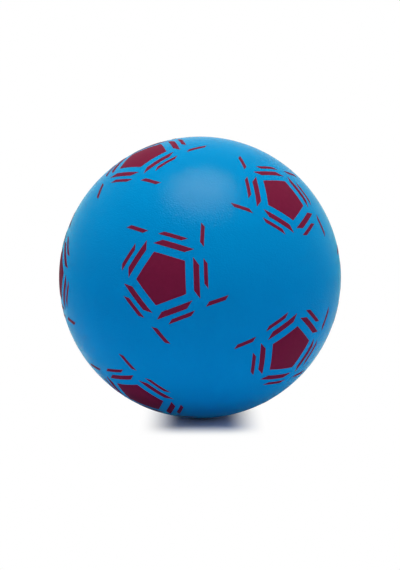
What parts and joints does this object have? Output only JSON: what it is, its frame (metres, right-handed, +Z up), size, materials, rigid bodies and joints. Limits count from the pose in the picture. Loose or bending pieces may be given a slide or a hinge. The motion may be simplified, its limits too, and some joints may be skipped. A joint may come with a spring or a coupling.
{
  "type": "foam futsal ball",
  "caption": "Soft round futsal ball: moulded foam core in a satin blue skin, printed with burgundy pentagons ringed by slanted bars.",
  "frame": {"origin": "centre of the ball", "axes": "+Z up as the ball lies on the floor, -Y towards the viewer of the picture, +X to the viewer's right; the front motif points 14.3 degrees left of -Y and 5.5 degrees up"},
  "size_m": [0.2006, 0.2006, 0.1999],
  "materials": {
    "foam": "moulded soft polyurethane foam, matt, fine cells",
    "skin": "moulded polyurethane skin, satin, fine grain",
    "ink": "printed flexible ink film, satin"
  },
  "bodies": {
    "root": {"foam_core": "foam", "skin_front": "skin", "skin_back": "skin", "pentagon_front": "ink", "pentagon_left": "ink", "pentagon_upper_left": "ink", "pentagon_upper_right": "ink", "pentagon_lower_right": "ink", "pentagon_lower_left": "ink", "pentagon_back": "ink", "pentagon_right": "ink", "pentagon_back_lower_right": "ink", "pentagon_back_lower_left": "ink", "pentagon_back_upper_left": "ink", "pentagon_back_upper_right": "ink"}
  },
  "joints": []
}
